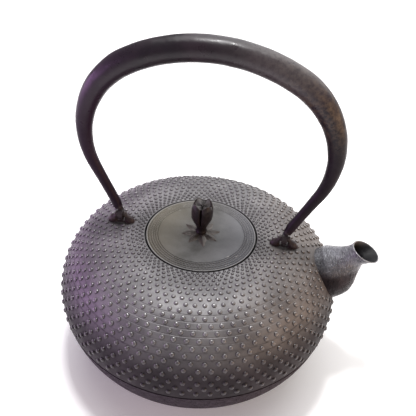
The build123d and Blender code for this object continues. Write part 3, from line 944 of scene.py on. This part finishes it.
# ------------------------------------------------------------------ lid
def lid_profile():
    """Disc with a fine raised rim and shallow turned rings, and its skirt."""
    edge = LID_RADIUS
    top = SEAT_BOTTOM - LID_DROP
    bottom = LEDGE_Z
    profile = [(0, SEAT_BOTTOM)]
    for k in range(1, LID_STEPS + 1):
        share = k / LID_STEPS * 0.985
        z = SEAT_BOTTOM - LID_DROP * share**2
        groove = sum(exp(-(((share - r) * edge / 0.28) ** 2)) for r in LID_RINGS)
        profile.append((edge * share, z - 0.36 * groove - 0.12 * ease(0.7, 0.78, share)))
    profile += [(edge - 0.4, top + 0.04), (edge - 0.15, top - 0.15), (edge, top - 0.6)]
    skirt_end = lid_low.z / MM
    profile += [(edge, bottom), (SKIRT_OUTSIDE, bottom), (SKIRT_OUTSIDE, skirt_end)]
    profile += [(SKIRT_INSIDE, skirt_end), (SKIRT_INSIDE, bottom), (0, bottom)]
    return profile[::-1]


points, faces = turned(lid_profile(), 240)
piece("lid_disc", points, faces, LID, "lid", ["lid"], 50)


def lid_dots():
    """Fine cast dots in rings near the lid's rim."""
    edge = LID_RADIUS
    points, faces = [], []
    upward = Vector((0.01, 0, 1)).normalized()
    for index, share in enumerate(LID_DOT_RINGS):
        r = edge * share
        z = SEAT_BOTTOM - LID_DROP * share**2 - 0.17
        for k in range(LID_DOTS):
            turn = 2 * pi * (k + 0.5 * (index % 2)) / LID_DOTS
            out = Vector((cos(turn), sin(turn), 0))
            dot(points, faces, out * r + Vector((0, 0, z)), upward, LID_DOT_RADIUS, LID_DOT_HEIGHT)
    return points, faces


points, faces = lid_dots()
piece("lid_fine_dots", points, faces, LID, "lid", None, 80)


# ------------------------------------------------------------------ star seat
def star():
    """Eight pointed leaves with a ridge, round the foot of the knob."""
    points, faces = [], []
    for ray, reach in enumerate(STAR_REACHES):
        middle = radians(STAR_FIRST + 360 / len(STAR_REACHES) * ray)
        out = Vector((cos(middle), sin(middle), 0))
        side = Vector((-sin(middle), cos(middle), 0))
        rings = []
        for r, half, ridge, edge in (
            (2.6, 1.1, 1.15, 0.8),
            (4.6, 1.8, 1.2, 0.5),
            (6.4, 2.6, 1.2, 0.2),
            (7.8, 2.75, 1.15, 0.1),
            (9.4, 2.2, 1.0, 0.05),
            (11.2, 1.35, 0.75, 0.03),
            (reach - 0.7, 0.5, 0.4, 0.02),
            (reach, 0.06, 0.15, 0.0),
        ):
            base = out * r + Vector((0, 0, SEAT_BOTTOM))
            down = Vector((0, 0, -0.5))
            up = Vector((0, 0, 1))
            rings.append(
                [
                    tuple(base + side * half + down),
                    tuple(base + side * half + up * edge),
                    tuple(base + side * half * 0.5 + up * (edge * 0.45 + ridge * 0.5)),
                    tuple(base + up * ridge),
                    tuple(base - side * half * 0.5 + up * (edge * 0.45 + ridge * 0.5)),
                    tuple(base - side * half + up * edge),
                    tuple(base - side * half + down),
                ]
            )
        p, f = skin(rings)
        start = len(points)
        points += p
        faces += [tuple(i + start for i in face) for face in f]
    return points, faces


points, faces = star()
piece("star_leaves", points, faces, STAR, "lid", ["knob_seat"], 24)


# ------------------------------------------------------------------ knob
def knob_surface():
    """Bud of four petals with slits between them, on a short neck and collar."""
    base = SEAT_TOP + 0.1
    top = KNOB_TOP - base
    outline = (  # (height, radius)
        (0.0, 3.7),
        (0.8, 3.9),
        (1.8, 3.6),
        (3.2, 3.4),
        (4.8, 3.7),
        (7.0, 4.5),
        (10.0, 5.9),
        (13.0, 6.95),
        (16.0, 7.2),
        (18.5, 7.15),
        (21.0, 6.9),
        (23.0, 6.4),
        (top, MOUTH_OF_BUD),
    )
    rings = []

    def slit(turn):
        """How deep in a slit an angle is, and how near the widest slit."""
        value = (1 - abs(sin(PETALS / 2 * turn))) ** 7
        front = exp(-(((degrees(turn) - FRONT_SLIT + 180) % 360 - 180) / FRONT_SPREAD) ** 2)
        return value, front

    def ring(height, radius, strength, drop=0.0):
        """Ring with slits of a strength, its edge lowered between the petals' tips by drop."""
        points = []
        for m in range(BUD_COUNT):
            turn = 2 * pi * m / BUD_COUNT
            value, front = slit(turn)
            cut = 0.2 * value * strength * (1 + 1.7 * front)
            bulge = 0.03 * strength * (1 - value)
            r = radius * (1 - cut + bulge) if radius < 7 else radius * (1 - cut)
            tip = 1 - abs(sin(PETALS / 2 * turn)) ** 2
            z = base + height - drop * (0.15 + 2.1 * tip + 0.9 * value * (1 + front))
            p = Vector((r * cos(turn), r * sin(turn), z))
            ragged = 0.1 + 0.5 * value * front * strength
            points.append(tuple(p + Vector((p.x, p.y, 0)).normalized() * ragged * rough(p, 1.6, 6)))
        return points

    for k in range(BUD_STEPS + 1):
        at = (len(outline) - 1) * k / BUD_STEPS
        height, radius = smooth_row(outline, at)
        rings.append(ring(height, radius, ease(4.5, 12, height), ease(17, top, height)))
    for inward, lower in DISH_RINGS:
        rings.append(ring(top - lower, MOUTH_OF_BUD * inward, 1.0, 1.0))
    return rings


points, faces = skin(knob_surface())
bud = piece("knob_bud", points, faces, DARK, "knob", ["knob"], 55)
# the inside of the bud takes the painted-light material
bud.data.materials.append(DISH)
first_inside = (BUD_STEPS + 1) * BUD_COUNT
for polygon in bud.data.polygons:
    polygon.material_index = 1 if first_inside <= polygon.index < first_inside + DISH_ROWS * BUD_COUNT else 0

# ------------------------------------------------------------------ carried-over CAD nodes
for node, material in (
    ("handle_hook_left", HOOK),
    ("handle_hook_right", HOOK),
    ("rivet_washer", DARK),
):
    obj = frame["nodes"][node]
    obj.data.materials.clear()
    obj.data.materials.append(material)


# ------------------------------------------------------------------ floor, light, camera
def floor_paper():
    """White paper with a faint tooth."""
    n = Nodes("floor_paper")
    tooth = n.noise(0.8, 3.0, 0.6)
    colour = n.mix(n.remap(n.noise(120.0), 0.3, 0.7, 0.0, 1.0), rgb(0.93, 0.93, 0.93), rgb(0.95, 0.95, 0.95))
    n.put(n.shader.inputs["Emission Color"], rgb(1.0, 0.96, 0.97))
    n.put(n.shader.inputs["Emission Strength"], 0.14)
    return n.finish(colour, 0.9, n.bump(tooth, 0.01), 0.0, 0.1)


FLOOR_HALF = 6.0  # metres
corners = [(x * FLOOR_HALF, y * FLOOR_HALF, 0) for x, y in ((-1, -1), (1, -1), (1, 1), (-1, 1))]
mesh = bpy.data.meshes.new("floor")
mesh.from_pydata(corners, [], [(0, 1, 2, 3)])
mesh.materials.append(floor_paper())
floor = bpy.data.objects.new("floor", mesh)
bpy.context.scene.collection.objects.link(floor)


def softbox(name, place, target, size, power, colour):
    """Area light aimed at a point."""
    light = bpy.data.lights.new(name, "AREA")
    light.shape = "RECTANGLE"
    light.size, light.size_y = size
    light.energy = power
    light.color = colour
    obj = bpy.data.objects.new(name, light)
    bpy.context.scene.collection.objects.link(obj)
    obj.location = place
    obj.rotation_euler = (Vector(target) - Vector(place)).to_track_quat("-Z", "Y").to_euler()


middle = (0, 0, 0.08)  # metres, as are the lights' places and sizes
softbox("sky_panel", (0.0, 0.45, 1.6), middle, (1.6, 1.4), 18.0, (1.0, 1.0, 1.0))
softbox("key_lamp", (-0.06, 0.1, 1.15), middle, (0.13, 0.13), 7.0, (1.0, 0.99, 0.99))
softbox("back_panel", (0.6, 1.35, 1.0), middle, (2.4, 1.4), 15.0, (0.97, 0.98, 1.0))
softbox("left_fill", (-1.2, -0.3, 0.25), middle, (1.4, 0.4), 6.5, (0.84, 0.45, 1.0))
softbox("right_fill", (1.2, -0.4, 0.25), middle, (1.4, 0.4), 5.5, (1.0, 0.62, 0.34))

world = bpy.data.worlds.new("studio")
bpy.context.scene.world = world
world.use_nodes = True
world.node_tree.nodes["Background"].inputs["Color"].default_value = (1.0, 1.0, 1.0, 1.0)
world.node_tree.nodes["Background"].inputs["Strength"].default_value = 0.3
bpy.context.scene.view_settings.view_transform = "Standard"

CAMERA_LENS = 51.92
CAMERA_PLACE = Vector((0.045432, -0.30683, 0.302005))  # metres, from a point 1 mm under the widest ring
CAMERA_FORWARD = Vector((-0.1072, 0.7858, -0.6092))
CAMERA_RIGHT = Vector((0.9834, 0.1741, 0.0515))
camera_data = bpy.data.cameras.new("camera")
camera_data.sensor_width = 36.0
camera_data.lens = CAMERA_LENS
camera_data.clip_start = 0.01
camera = bpy.data.objects.new("camera", camera_data)
bpy.context.scene.collection.objects.link(camera)
forward = CAMERA_FORWARD.normalized()
up = CAMERA_RIGHT.cross(forward).normalized()
right = forward.cross(up)
place = CAMERA_PLACE + Vector((0, 0, (WIDEST_Z - 1) * MM))
camera.matrix_world = Matrix.Translation(place) @ Matrix((right, up, -forward)).transposed().to_4x4()
bpy.context.scene.camera = camera
